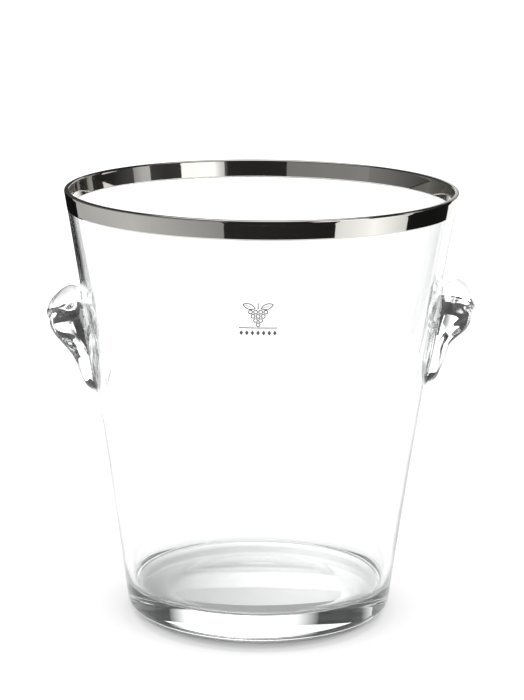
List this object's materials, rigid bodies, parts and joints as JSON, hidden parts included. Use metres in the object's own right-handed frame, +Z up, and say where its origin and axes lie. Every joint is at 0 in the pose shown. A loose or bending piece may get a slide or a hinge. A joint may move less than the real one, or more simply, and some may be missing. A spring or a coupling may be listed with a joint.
{
  "type": "glass champagne bucket",
  "caption": "Flared clear-glass champagne bucket with a thick solid base, applied side lugs and a polished silver-toned metal band over the rim.",
  "frame": {"origin": "on the table, under the middle of the base", "axes": "+Z up through the mouth, +X through the right lug, -Y out of the front that carries the printed mark"},
  "size_m": [0.239, 0.218, 0.24],
  "materials": {
    "vessel_glass": "clear, fire-polished",
    "lug_glass": "clear, fire-polished, hand-worked",
    "band_metal": "polished, slightly warm silver",
    "mark_enamel": "fired dark grey enamel"
  },
  "bodies": {
    "root": {"glass_vessel": "vessel_glass", "left_lug": "lug_glass", "right_lug": "lug_glass", "rim_band": "band_metal", "printed_mark": "mark_enamel"}
  },
  "joints": []
}
